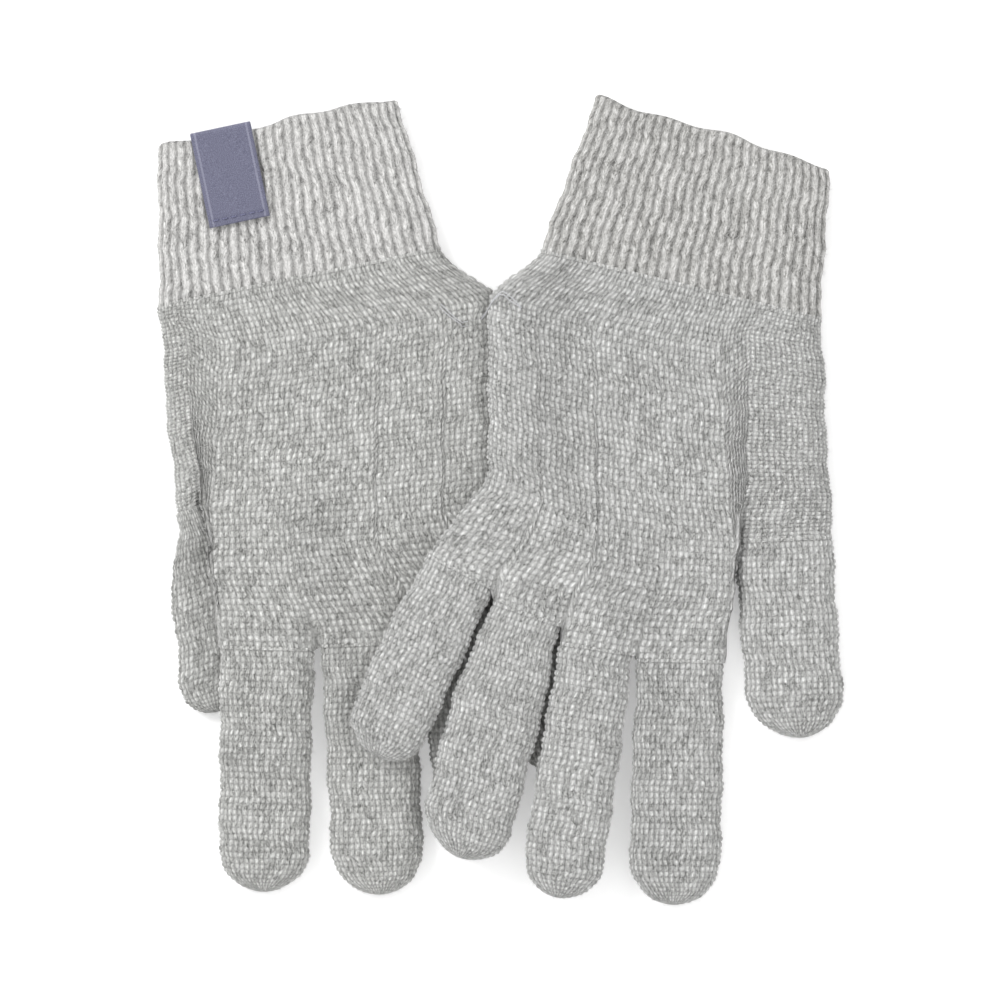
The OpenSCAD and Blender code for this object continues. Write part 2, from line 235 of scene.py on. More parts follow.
def even_shares(w, ht, radius, n):
    """Shares across a flat tube of width w at which n + 1 columns stand evenly over its top."""
    f = (1 - np.cos(np.linspace(0, math.pi, 161))) / 2
    z = ht * puff(np.minimum(f, 1 - f) * w, radius)
    arc = np.concatenate([[0], np.cumsum(np.hypot(np.diff(f * w), np.diff(z)))])
    return np.interp(np.linspace(0, 1, n + 1), arc / arc[-1], f)


def rumple(x, y):
    """Share by which the fabric sinks here, in soft hollows 15 to 30 mm across."""
    wave = np.sin(0.21 * x + 0.05 * y) * np.sin(0.16 * y - 0.04 * x + 1)
    return RUMPLE * (0.5 + 0.3 * wave + 0.2 * np.sin(0.39 * x - 0.31 * y))


def ring_points(x, y, low, high):
    """One closed ring: the top from left to right, then the underside back again."""
    high = high - rumple(x, y) * (high - low) / 2
    x = x + SWAY * (np.sin(0.33 * y + 0.08 * x) + 0.5 * np.sin(0.9 * y + 0.2 * x))
    top = np.stack([x, y, high], -1)
    under = np.stack([x, y, low], -1)[-2:0:-1]
    return np.concatenate([top, under])


def stitch_height(u, v, rows, rng, rib):
    """Depth of the fabric's relief at wale u and course v, from 0 on top to 1 in a hole."""
    beside = np.abs(u % 1 - 0.5) * 2
    row = v + SLANT * beside
    leg = np.sin(math.pi * beside) ** 0.8
    loop = np.abs(np.sin(math.pi * (row % 1))) ** 0.6
    wales = int(round(u.max())) + 2
    uneven = rng.random((2 * wales, rows + 4))
    pick = uneven[(2 * u).astype(int) % (2 * wales), np.clip(row.astype(int), 0, rows + 3)]
    relief = leg * (0.25 + 0.75 * loop) * (0.6 + 0.4 * pick)
    if not rib:
        return 1 - relief
    ridge = 0.5 + 0.5 * np.cos(2 * math.pi * (u % 1 - 0.5))
    return 1 - ridge**0.8 * (0.55 + 0.45 * relief)


def grid_normals(points, outward):
    """Normals of a grid of closed rings."""
    around = np.roll(points, -1, 1) - np.roll(points, 1, 1)
    down = np.gradient(points, axis=0)
    n = np.cross(around, down)
    n /= np.maximum(np.linalg.norm(n, axis=-1, keepdims=True), 1e-9)
    return n * outward


def knit_relief(points, wales, per_course, outward, rng, rib=False):
    """Presses the stitches into a grid of rings. Returns the grid, its relief (used for painted
    shade in the grooves) and its normals.
    """
    rows, n = points.shape[:2]
    u = np.tile(np.arange(n) * wales / n, (rows, 1))
    v = np.tile((np.arange(rows) / per_course)[:, None], (1, n))
    depth = stitch_height(u, v, rows // per_course, rng, rib)
    normals = grid_normals(points, outward)
    span = np.linalg.norm(np.roll(points, -1, 1) - points, axis=-1) * n / wales
    full = RIB_DEPTH if rib else LEG_DEPTH
    amount = full * np.clip(span / (RIB if rib else WALE), 0.15, 1.1)
    return points - normals * (depth * amount)[..., None], 1 - depth, normals


# ---------------------------------------------------------------- meshes
PRESS = 0.35
FIBRE_W = 0.085
FIBRE_AREA = 4.0


def press(z):
    """Heights with the yarn under PRESS squeezed flat on the floor, and never below it."""
    return np.where(z < PRESS, PRESS * np.exp((np.minimum(z, PRESS) - PRESS) / PRESS), z)


class Shell:
    """Collects a piece's points and faces, with its stitch coordinates and its relief, for painted
    shade.
    """

    def __init__(self):
        self.points = []
        self.faces = []
        self.painted_shades = []
        self.uvs = []
        self.slots = []
        self.count = 0

    def add_points(self, points, painted_shade, uv):
        flat_points = np.asarray(points).reshape(-1, 3)
        self.points.append(flat_points)
        self.painted_shades.append(np.broadcast_to(painted_shade, flat_points.shape[:1]).astype(float))
        self.uvs.append(np.asarray(uv, float).reshape(-1, 2))
        first = self.count
        self.count += len(flat_points)
        return first

    def add_faces(self, faces, slot=0):
        self.faces.append(np.asarray(faces, int))
        self.slots.append(np.full(len(faces), slot))

    def build(self, name, materials):
        points = np.concatenate(self.points)
        points[:, 2] = press(points[:, 2])
        points *= MM
        uv = np.concatenate(self.uvs)
        mesh = bpy.data.meshes.new(name)
        faces = [face for group in self.faces for face in group.tolist()]
        mesh.from_pydata(points.tolist(), [], faces)
        mesh.polygons.foreach_set("material_index", np.concatenate(self.slots).astype(int))
        mesh.polygons.foreach_set("use_smooth", np.full(len(faces), True))
        # Painted shade: the relief attribute darkens the yarn's colour in the grooves and inside the
        # shell.
        painted_shade = mesh.attributes.new("relief", "FLOAT", "POINT")
        painted_shade.data.foreach_set("value", np.concatenate(self.painted_shades).astype(np.float32))
        stitch = mesh.attributes.new("stitch", "FLOAT_VECTOR", "POINT")
        flat_uv = np.concatenate([uv, np.zeros((len(uv), 1))], 1)
        stitch.data.foreach_set("vector", flat_uv.astype(np.float32).ravel())
        for material in materials:
            mesh.materials.append(material)
        mesh.update()
        piece = bpy.data.objects.new(name, mesh)
        bpy.context.collection.objects.link(piece)
        return piece


def ring_faces(first, rows, n, outward):
    """Quads between the rings of a grid, facing out when outward is 1."""
    j, i = np.meshgrid(np.arange(rows - 1), np.arange(n), indexing="ij")
    a = first + j * n + i
    b = first + j * n + (i + 1) % n
    quads = np.stack([a, b, b + n, a + n], -1).reshape(-1, 4)
    return quads if outward > 0 else quads[:, ::-1]


def join_rings(a, b, n, outward):
    """Quads between two rings that start at points a and b."""
    i = np.arange(n)
    after = (i + 1) % n
    quads = np.stack([a + i, a + after, b + after, b + i], -1)
    return quads if outward > 0 else quads[:, ::-1]


def add_tip(shell, ring_first, n, centre, painted_shade, uv, outward):
    """Closes a ring with triangles to one middle point."""
    middle = shell.add_points([centre], painted_shade, [uv])
    i = np.arange(n)
    fan = np.stack([ring_first + i, ring_first + (i + 1) % n, np.full(n, middle)], -1)
    shell.add_faces(fan if outward > 0 else fan[:, ::-1])


def add_fibres(shell, points, normals, area, rng):
    """Loose fibres: thin curved slips of two faces each, standing out of the yarn."""
    rows, n = points.shape[:2]
    count = int(area / FIBRE_AREA)
    j = rng.integers(1, rows - 1, count)
    i = rng.integers(0, n, count)
    start = points[j, i]
    normal = normals[j, i]
    side = rng.normal(size=(count, 3))
    side -= normal * np.sum(side * normal, 1, keepdims=True)
    side /= np.maximum(np.linalg.norm(side, axis=1, keepdims=True), 1e-9)
    broad = np.cross(normal, side)
    length = rng.uniform(0.8, 2.4, (count, 1))
    rise = rng.uniform(0.15, 0.55, (count, 1))
    bend = rng.uniform(-0.4, 0.4, (count, 1))
    mid = start + length * (0.5 * side + rise * 0.8 * normal + bend * 0.3 * broad)
    end = start + length * (side + rise * 0.9 * normal + bend * broad)
    half = broad * FIBRE_W / 2
    strip = np.stack([start - half, start + half, mid - half, mid + half, end], 1)
    first = shell.add_points(strip, 1.0, np.zeros((count * 5, 2)))
    base = first + 5 * np.arange(count)[:, None]
    shell.add_faces(base + [0, 1, 3, 2], 1)
    shell.add_faces(base + [2, 3, 4], 1)


def knitted_piece(name, outer, inner, wales, per_course, rng, closed=False, rib=False, turn=1,
                  phase=0.0, materials=(), lip=False):
    """A shell of fabric from its outer grid and its inner grid, both from first ring to last."""
    shell = Shell()
    rows, n = outer.shape[:2]
    knitted, relief, normals = knit_relief(outer, wales, per_course, turn, rng, rib)
    u = np.tile(np.arange(n) * wales / n, (rows, 1))
    v = np.tile((np.arange(rows) / per_course)[:, None], (1, n))
    # Painted shade: each point's relief goes into the yarn's colour, darker in the stitch grooves;
    # the lip and the tips' middle points get lower values and so come out darker.
    first = shell.add_points(knitted, relief.ravel(), np.stack([u, v + phase], -1))
    shell.add_faces(ring_faces(first, rows, n, turn))
    inner_rows = len(inner)
    inner_v = np.linspace(0, rows / per_course, inner_rows)[:, None]
    inner_uv = np.stack([u[:inner_rows], np.tile(inner_v, (1, n)) + phase], -1)
    # Painted shade: the inside of the shell is given a relief of 0.25, so it is coloured darker.
    inner_first = shell.add_points(inner, 0.25, inner_uv)
    shell.add_faces(ring_faces(inner_first, inner_rows, n, -turn))
    if lip:
        middle = (knitted[0] + inner[0]) / 2 + (outer[0] - outer[2]) * 0.6
        ring = shell.add_points(middle, 0.8, np.stack([u[0], v[0] - 0.3], -1))
        shell.add_faces(join_rings(ring, first, n, turn))
        shell.add_faces(join_rings(inner_first, ring, n, turn))
    else:
        shell.add_faces(join_rings(inner_first, first, n, turn))
    last = first + (rows - 1) * n
    inner_last = inner_first + (inner_rows - 1) * n
    if closed:
        add_tip(shell, last, n, knitted[-1].mean(0), 0.5, (0, rows / per_course), turn)
        add_tip(shell, inner_last, n, inner[-1].mean(0), 0.2, (0, 0), -turn)
    else:
        shell.add_faces(join_rings(last, inner_last, n, turn))
    steps = np.linalg.norm(np.roll(outer, -1, 1) - outer, axis=-1)[:-1]
    area = float(np.sum(steps * np.linalg.norm(np.diff(outer, axis=0), axis=-1)))
    add_fibres(shell, knitted, normals, area, rng)
    return shell.build(name, materials)


# ---------------------------------------------------------------- digits
PER_COURSE = 5
PER_WALE = 4
TIP_K = 0.95
TIP_END = 87
FULL_WIDTH_AT = 0.5
SETTLE_LEN = 22
ROUND_K = 0.98
INNER_STEP = 5.0
DIGIT_PHASE = 60.0
PHASE_STEP = 90


def digit_rings(g, d, stations, n, inset):
    """Rings of a digit at distances along it from its root, with 2 * n points each."""
    length = DIGIT_LEN[d] * LAY_LEN[g][d]
    half_w = width(g, d) / 2
    half_root = root_width(g, d) / 2
    tip = half_w * TIP_K
    body = length - tip
    low_thumb = g == LOWER and d == THUMB
    lie = lie_of(g, d)
    start_lift = float(over_thumb(*root(g, d))) if low_thumb else 0.0
    rings = []
    for s in stations:
        q = max(0.0, (s - body) / tip)
        taper = math.sqrt(max(0.0, 1 - q * q))
        round_off = float(puff(np.array(tip * (1 - q)), EDGE_R))
        centre = root(g, d) + along(lean(g, d)) * s
        centre = centre + across(lean(g, d)) * THUMB_DIR[g] * CURL[g][d] * (s / length) ** 2
        hw = (mix(half_root, half_w, smooth(s / body / FULL_WIDTH_AT)) - inset) * taper
        settle = float(smooth(np.array(s / SETTLE_LEN)))
        mid_z = mix(HALF_T + start_lift, TUCK_H / 2, settle) if low_thumb else HALF_T
        ht = mix(HALF_T, TUCK_H / 2, settle) if low_thumb else HALF_T
        height = (ht - inset) * round_off
        radius = min(EDGE_R - inset, hw * ROUND_K)
        f = even_shares(2 * hw, height, radius, n)
        offset = (2 * f - 1) * hw
        x = centre[0] + across(lean(g, d))[0] * offset
        y = centre[1] + across(lean(g, d))[1] * offset
        h = height * puff(np.minimum(f, 1 - f) * 2 * hw, radius)
        lift = lie(x, y)
        rings.append(ring_points(x, y, mid_z - h + lift, mid_z + h + lift))
    return np.array(rings)


def digit_stations(g, d, step, inset):
    """Distances along a digit, even over its straight part and round its tip."""
    tip = width(g, d) / 2 * TIP_K
    body = DIGIT_LEN[d] * LAY_LEN[g][d] - tip
    straight = np.linspace(-OVERLAP, body, int(round((body + OVERLAP) / step)) + 1)
    turns = int(round(tip * math.pi / 2 / step))
    angles = np.linspace(0, math.radians(TIP_END), turns + 1)[1:]
    return np.concatenate([straight, body + (tip - inset) * np.sin(angles)])


def add_digit(g, d, materials):
    rng = np.random.default_rng(DIGIT_SEED + 10 * g + d)
    wales = 2 * int(round(width(g, d) / WALE))
    n = wales * PER_WALE // 2
    outer = digit_rings(g, d, digit_stations(g, d, COURSE / PER_COURSE, 0), n, 0)
    inner = digit_rings(g, d, digit_stations(g, d, INNER_STEP, FABRIC_T), n, FABRIC_T)
    name = f"knit_{GLOVE[g]}_{DIGIT[d]}"
    piece = knitted_piece(name, outer, inner, wales, PER_COURSE, rng, closed=True,
                          turn=-1, phase=DIGIT_PHASE + PHASE_STEP * d, materials=materials)
    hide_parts(f"{GLOVE[g]}_{DIGIT[d]}")
    return piece


# ---------------------------------------------------------------- cuffs
CUFF_PER_COURSE = 4
CUFF_PER_RIB = 8
CUFF_INNER_ROWS = 12
CUFF_PHASE = 700.0
MOUTH_WAVE = 0.5


def cuff_rings(g, shares, n, inset):
    """Rings of a cuff at shares of the way from the seam to the mouth."""
    rings = []
    for t in shares:
        centre = mix(seam_mid(g), mouth_mid(g), t)
        tilt = THUMB_DIR[g] * mix(SEAM_TILT[g], MOUTH_TILT[g], t)
        hw = mix(CUFF_BASE_W, CUFF_W, t) / 2 - inset
        f = even_shares(2 * hw, HALF_T - inset, EDGE_R - inset, n)
        offset = (2 * f - 1) * hw
        wave = np.sin(0.13 * offset + g) + np.sin(0.31 * offset) - 1
        pull = MOUTH_WAVE * smooth((t - 0.6) / 0.4) * wave
        x = centre[0] + across(tilt)[0] * offset - across(tilt)[1] * pull
        y = centre[1] + across(tilt)[1] * offset + across(tilt)[0] * pull
        h = (HALF_T - inset) * puff(np.minimum(f, 1 - f) * 2 * hw, EDGE_R - inset)
        lift = over_glove(x, y) if g == UPPER else flat(x, y)
        rings.append(ring_points(x, y, HALF_T - h + lift, HALF_T + h + lift))
    return np.array(rings)


def add_cuff(g, materials):
    rng = np.random.default_rng(CUFF_SEED + g)
    ribs = 2 * int(round((CUFF_W + CUFF_BASE_W) / 2 / RIB))
    n = ribs * CUFF_PER_RIB // 2
    rows = int(round(CUFF_LEN / COURSE)) * CUFF_PER_COURSE + 1
    outer = cuff_rings(g, np.linspace(1, -OVERLAP / CUFF_LEN, rows), n, 0)
    inner = cuff_rings(g, np.linspace(1, -OVERLAP / CUFF_LEN, CUFF_INNER_ROWS), n, FABRIC_T)
    piece = knitted_piece(f"knit_{GLOVE[g]}_cuff", outer, inner, ribs, CUFF_PER_COURSE, rng,
                          rib=True, turn=-1, phase=CUFF_PHASE, materials=materials, lip=True)
    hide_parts(f"{GLOVE[g]}_cuff")
    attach(piece, f"{GLOVE[g]}_glove")


# ---------------------------------------------------------------- hands
HAND_PER_COURSE = 5
HAND_PER_WALE = 4
HAND_INNER_ROWS = 14
HAND_LEN = SEAM_Y + 45
ROOT_BLEND = 16.0
BY_TRAVEL = 0.45


def slot_ends(g, d):
    """The two ends of a digit's root, little side first."""
    half = root_width(g, d) / 2
    side = across(lean(g, d)) * THUMB_DIR[g] * half
    return root(g, d) - side, root(g, d) + side


def far_line(g):
    """Corners of the hand's far edge, little finger to thumb, and each digit's pair of corners."""
    corners = []
    openings = []
    for d in (LITTLE, RING, MIDDLE, INDEX):
        openings.append((len(corners), d))
        corners += list(slot_ends(g, d))
    a, b = slot_ends(g, THUMB)
    corners.append(a - np.array([THUMB_DIR[g] * 0.6, 0.3]))
    openings.append((len(corners), THUMB))
    return np.array(corners + [a, b]), openings


def hand_rings(g, rows_at, n, inset):
    """Rings of the hand from the cuff's seam to the digits' roots."""
    far, openings = far_line(g)
    legs = np.linalg.norm(np.diff(far, axis=0), axis=1)
    arc = np.concatenate([[0], np.cumsum(legs)])
    by_x = (far[:, 0] - far[0, 0]) / (far[-1, 0] - far[0, 0])
    share = mix(by_x, arc / arc[-1], BY_TRAVEL)
    tilt = THUMB_DIR[g] * SEAM_TILT[g]
    seam_half = across(tilt) * THUMB_DIR[g] * CUFF_BASE_W / 2
    seam_l, seam_r = seam_mid(g) - seam_half, seam_mid(g) + seam_half
    palm_l = place(g, -PALM_W / 2, 0)[0]
    palm_r = place(g, PALM_W / 2, 0)[0]
    lie = lie_of(g)
    rings = []
    for t in rows_at:
        flare = mix(seam_l[0], palm_l, smooth(t / 0.17))
        left = np.array([mix(flare, far[0, 0], smooth((t - 0.7) / 0.33)),
                         mix(seam_l[1], far[0, 1], t)])
        widen = mix(seam_r[0], palm_r, smooth(t / 0.3))
        right = np.array([mix(widen, far[-1, 0], smooth((t - 0.4) / 0.6)),
                          mix(seam_r[1], far[-1, 1], t)])
        w = float(np.linalg.norm(right - left))
        ht = HALF_T - inset
        radius = EDGE_R - inset
        f = even_shares(w, ht, radius, n)
        placed = (inset + f * (w - 2 * inset)) / w
        at_arc = np.interp(placed, share, arc)
        far_x = np.interp(at_arc, arc, far[:, 0])
        far_y = np.interp(at_arc, arc, far[:, 1])
        bow_x = far_x - mix(far[0, 0], far[-1, 0], placed)
        bow_y = far_y - mix(far[0, 1], far[-1, 1], placed)
        x = mix(left[0], right[0], placed) + bow_x * t
        y = mix(left[1], right[1], placed) + bow_y * t
        side_depth = np.minimum(f, 1 - f) * w
        root_height = np.zeros_like(f)
        for first, d in openings:
            inside = np.minimum(at_arc - arc[first], arc[first + 1] - at_arc)
            r = min(EDGE_R, root_width(g, d) / 2 * ROUND_K)
            root_height = np.maximum(root_height, puff(np.maximum(inside, 0), r))
        near_root = 1 - smooth((1 - t) * HAND_LEN / ROOT_BLEND)
        h = ht * mix(puff(side_depth, radius), root_height, near_root)
        lift = lie(x, y)
        rings.append(ring_points(x, y, HALF_T - h + lift, HALF_T + h + lift))
    return np.array(rings)


def add_hand(g, materials):
    rng = np.random.default_rng(HAND_SEED + g)
    wales = 2 * int(round(PALM_W / WALE))
    n = wales * HAND_PER_WALE // 2
    rows = int(round(HAND_LEN / COURSE)) * HAND_PER_COURSE + 1
    outer = hand_rings(g, np.linspace(0, 1, rows), n, 0)
    inner = hand_rings(g, np.linspace(0, 1, HAND_INNER_ROWS), n, FABRIC_T)
    turn = -THUMB_DIR[g]
    piece = knitted_piece(f"knit_{GLOVE[g]}_hand", outer, inner, wales, HAND_PER_COURSE, rng,
                          turn=turn, materials=materials)
    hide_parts(f"{GLOVE[g]}_hand")
    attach(piece, f"{GLOVE[g]}_glove")


# ---------------------------------------------------------------- materials
YARN_SHEEN = 0.25
LEG_SHARE = 0.28
FIBRE_SHARE = 1.3
FLECK_SHARE = 0.7
BROAD_SHARE = 0.16
SHADE_OFFSET = 0.675
# Painted shade: the yarn's colour is multiplied by GROOVE_SHADE plus GROOVE_SPAN times the relief,
# darkest in the grooves.
GROOVE_SHADE = 0.50
GROOVE_SPAN = 0.66
BORDER_FROM = 1.1
BORDER_TO = 1.7
BORDER_STRENGTH = 0.22


class Nodes:
    """Short ways to write a material's node tree."""

    def __init__(self, name):
        self.material = bpy.data.materials.new(name)
        self.material.use_nodes = True
        self.tree = self.material.node_tree
        self.shader = self.tree.nodes["Principled BSDF"]

    def add(self, kind, **settings):
        node = self.tree.nodes.new(kind)
        for key, value in settings.items():
            setattr(node, key, value)
        return node

    def feed(self, socket, value):
        if isinstance(value, bpy.types.NodeSocket):
            self.tree.links.new(value, socket)
        else:
            socket.default_value = value

    def maths(self, operation, a, b=0.0, c=0.0):
        node = self.add("ShaderNodeMath", operation=operation)
        for socket, value in zip(node.inputs, (a, b, c)):
            self.feed(socket, value)
        return node.outputs[0]

    def vector(self, x, y, z=0.0):
        node = self.add("ShaderNodeCombineXYZ")
        for socket, value in zip(node.inputs, (x, y, z)):
            self.feed(socket, value)
        return node.outputs[0]

    def noise(self, vector, scale, detail=2.0, rough=0.5):
        node = self.add("ShaderNodeTexNoise")
        self.feed(node.inputs["Vector"], vector)
        node.inputs["Scale"].default_value = scale
        node.inputs["Detail"].default_value = detail
        node.inputs["Roughness"].default_value = rough
        return node.outputs["Fac"]

    def white(self, vector):
        node = self.add("ShaderNodeTexWhiteNoise", noise_dimensions="3D")
        self.feed(node.inputs["Vector"], vector)
        return node.outputs["Value"]

    def attribute(self, name, output="Fac"):
        return self.add("ShaderNodeAttribute", attribute_name=name).outputs[output]

    def ramp(self, value, stops):
        node = self.add("ShaderNodeValToRGB")
        self.feed(node.inputs[0], value)
        node.color_ramp.interpolation = "LINEAR"
        while len(node.color_ramp.elements) < len(stops):
            node.color_ramp.elements.new(1.0)
        for element, (position, colour) in zip(node.color_ramp.elements, stops):
            element.position = position
            element.color = srgb(*colour)
        return node.outputs["Color"]

    def bump(self, height, distance, strength=1.0):
        node = self.add("ShaderNodeBump")
        node.inputs["Distance"].default_value = distance
        node.inputs["Strength"].default_value = strength
        self.feed(node.inputs["Height"], height)
        return node.outputs["Normal"]


def srgb(r, g, b):
    """A colour given from 0 to 255 on a screen, as the linear values that nodes take."""
    def channel(c):
        c /= 255
        return c / 12.92 if c <= 0.04045 else ((c + 0.055) / 1.055) ** 2.4
    return (channel(r), channel(g), channel(b), 1.0)


def yarn_material(name, dark, middle, light):
    """Heather yarn: each leg of a stitch has its own tone, with fibres running along it, and painted
    shade darkens the grooves by their relief.
    """
    m = Nodes(name)
    stitch = m.add("ShaderNodeSeparateXYZ")
    m.feed(stitch.inputs[0], m.attribute("stitch", "Vector"))
    u, v = stitch.outputs[0], stitch.outputs[1]
    from_middle = m.maths("ABSOLUTE", m.maths("SUBTRACT", m.maths("FRACT", u), 0.5))
    beside = m.maths("MULTIPLY", from_middle, 2.0)
    row = m.maths("MULTIPLY_ADD", beside, SLANT, v)
    leg = m.maths("FLOOR", m.maths("MULTIPLY", u, 2.0))
    own = m.white(m.vector(leg, m.maths("FLOOR", row), 3.0))
    run = m.vector(m.maths("MULTIPLY", u, 7.0), m.maths("MULTIPLY", row, 1.3), leg)
    fibres = m.noise(run, 1.0, 3.0, 0.6)
    where = m.add("ShaderNodeTexCoord").outputs["Object"]
    flecks = m.noise(where, 1500.0, 3.0, 0.65)
    broad = m.noise(where, 70.0, 2.0, 0.5)
    mixed = m.maths("MULTIPLY", fibres, FIBRE_SHARE)
    mixed = m.maths("MULTIPLY_ADD", own, LEG_SHARE, mixed)
    mixed = m.maths("MULTIPLY_ADD", flecks, FLECK_SHARE, mixed)
    mixed = m.maths("MULTIPLY_ADD", broad, BROAD_SHARE, mixed)
    mixed = m.maths("SUBTRACT", mixed, SHADE_OFFSET)
    colour = m.ramp(mixed, [(0.12, dark), (0.5, middle), (0.88, light)])
    # Painted shade: the colour is darkened where the relief is low, in the stitch grooves and inside
    # the shell.
    relief = m.attribute("relief")
    shade = m.maths("MULTIPLY_ADD", relief, GROOVE_SPAN, GROOVE_SHADE)
    tone = m.add("ShaderNodeMix", data_type="RGBA", blend_type="MULTIPLY")
    tone.inputs[0].default_value = 1.0
    m.feed(tone.inputs[6], colour)
    grey = m.add("ShaderNodeCombineColor")
    for socket in grey.inputs:
        m.feed(socket, shade)
    m.feed(tone.inputs[7], grey.outputs[0])
    m.feed(m.shader.inputs["Base Color"], tone.outputs[2])
    height = m.maths("MULTIPLY_ADD", fibres, 0.7, m.maths("MULTIPLY", flecks, 0.5))
    m.feed(m.shader.inputs["Normal"], m.bump(height, 0.00045, 0.9))
    rough = m.maths("MULTIPLY_ADD", flecks, 0.12, 0.84)
    m.feed(m.shader.inputs["Roughness"], rough)
    m.shader.inputs["Specular IOR Level"].default_value = 0.15
    m.shader.inputs["Sheen Weight"].default_value = YARN_SHEEN
    m.shader.inputs["Sheen Roughness"].default_value = 0.5
    return m.material


def fibre_material(name, dark, light):
    """Plain matte fibre, a little uneven in shade."""
    m = Nodes(name)
    where = m.add("ShaderNodeTexCoord").outputs["Object"]
    m.feed(m.shader.inputs["Base Color"], m.ramp(m.noise(where, 900.0), [(0.3, dark), (0.7, light)]))
    m.shader.inputs["Roughness"].default_value = 0.7
    m.shader.inputs["Sheen Weight"].default_value = 0.2
    return m.material


def label_material():
    """Fine woven satin with a pale woven border."""
    m = Nodes("label_weave")
    at = m.add("ShaderNodeSeparateXYZ")
    m.feed(at.inputs[0], m.attribute("stitch", "Vector"))
    per_mm = LABEL_THREADS * 2 * math.pi / LABEL_W
    warp = m.maths("SINE", m.maths("MULTIPLY", at.outputs[0], per_mm))
    weft = m.maths("SINE", m.maths("MULTIPLY", at.outputs[1], per_mm))
    weave = m.maths("MULTIPLY", warp, weft)
    where = m.add("ShaderNodeTexCoord").outputs["Object"]
    uneven = m.noise(where, 3200.0, 2.0, 0.5)
    mixed = m.maths("MULTIPLY_ADD", weave, 0.2, m.maths("MULTIPLY_ADD", uneven, 0.6, 0.2))
    body = m.ramp(mixed, [(0.22, (58, 59, 80)), (0.5, (98, 99, 123)), (0.78, (146, 147, 165))])
    from_edge = m.maths("SUBTRACT", LABEL_W / 2, m.maths("ABSOLUTE", at.outputs[0]))
    outer = m.maths("GREATER_THAN", from_edge, BORDER_FROM)
    inner = m.maths("LESS_THAN", from_edge, BORDER_TO)
    band = m.maths("MULTIPLY", m.maths("MULTIPLY", outer, inner), BORDER_STRENGTH)
    tone = m.add("ShaderNodeMix", data_type="RGBA")
    m.feed(tone.inputs[0], band)
    m.feed(tone.inputs[6], body)
    tone.inputs[7].default_value = srgb(196, 196, 214)
    m.feed(m.shader.inputs["Base Color"], tone.outputs[2])
    m.feed(m.shader.inputs["Normal"], m.bump(mixed, 0.0002, 0.8))
    m.feed(m.shader.inputs["Roughness"], m.maths("MULTIPLY_ADD", uneven, 0.2, 0.5))
    m.shader.inputs["Sheen Weight"].default_value = 0.1
    return m.material


def thread_material(name, dark, light):
    """Twisted thread, with painted shade in bands along its turns: light on the turns, dark between
    them.
    """
    m = Nodes(name)
    at = m.add("ShaderNodeSeparateXYZ")
    m.feed(at.inputs[0], m.attribute("stitch", "Vector"))
    # Painted shade: the colour runs from dark to light around each turn of the twist.
    twist = m.maths("SINE", m.maths("ADD", m.maths("MULTIPLY", at.outputs[1], 9.0), at.outputs[0]))
    share = m.maths("MULTIPLY_ADD", twist, 0.5, 0.5)
    m.feed(m.shader.inputs["Base Color"], m.ramp(share, [(0.0, dark), (1.0, light)]))
    m.feed(m.shader.inputs["Normal"], m.bump(twist, 0.0001, 0.6))
    m.shader.inputs["Roughness"].default_value = 0.6
    return m.material


# ---------------------------------------------------------------- label and threads
LABEL_W = 19.0
LABEL_LEN = 28.0
LABEL_TAIL = 18.0
LABEL_T = 0.6
LABEL_AT = -17.5
LABEL_REST = 0.15
LABEL_OUT = 0.3
LABEL_THREADS = 46
LABEL_R = FABRIC_T / 2 + LABEL_REST
LABEL_Z = 2 * HALF_T - FABRIC_T / 2
LABEL_STEP = 0.6
LABEL_EDGE = 0.25
LABEL_COLUMNS = 33
LABEL_RIPPLE = 0.10

STITCHES = 6
STITCH_LEN = 1.9
STITCH_MARGIN = 2.0
STITCH_D = 0.5

TACK_D = 0.7
TACK = place(UPPER, -PALM_W / 2 - 1.6, SEAM_Y - 7.5)
TACK_LOW = 2 * HALF_T + CLEAR / 2 + TACK_D / 2
TACK_TOP = LAYER_H + 2 * HALF_T + CLEAR / 2 + TACK_D / 2
TACK_SINK = 1.3
STRAND_SHIFT = 0.32

THREAD_SIDES = 10
THREAD_STEP = 0.25


def at_mouth(x, y, z):
    """From the frame of the lower cuff's mouth: x along it from the label's middle, y out of it."""
    tilt = -MOUTH_TILT[LOWER]
    out = np.array([-math.sin(math.radians(tilt)), math.cos(math.radians(tilt))])
    plan = mouth_mid(LOWER) + across(tilt) * (x + LABEL_AT) + out * y
    return [plan[0], plan[1], z]


def label_path(step):
    """Points (y, z) and their directions along the middle of the folded label."""
    r = LABEL_R + LABEL_T / 2
    outer = np.arange(-LABEL_LEN, LABEL_OUT, step)
    turn = np.linspace(90, -90, 17)
    inner = np.arange(LABEL_OUT, -LABEL_TAIL, -step)
    line = [(y, LABEL_Z + r, 0.0, 1.0) for y in outer]
    for a in np.radians(turn):
        out, up = math.cos(a), math.sin(a)
        line.append((LABEL_OUT + r * out, LABEL_Z + r * up, out, up))
    line += [(y, LABEL_Z - r, 0.0, -1.0) for y in inner[1:]]
    return line


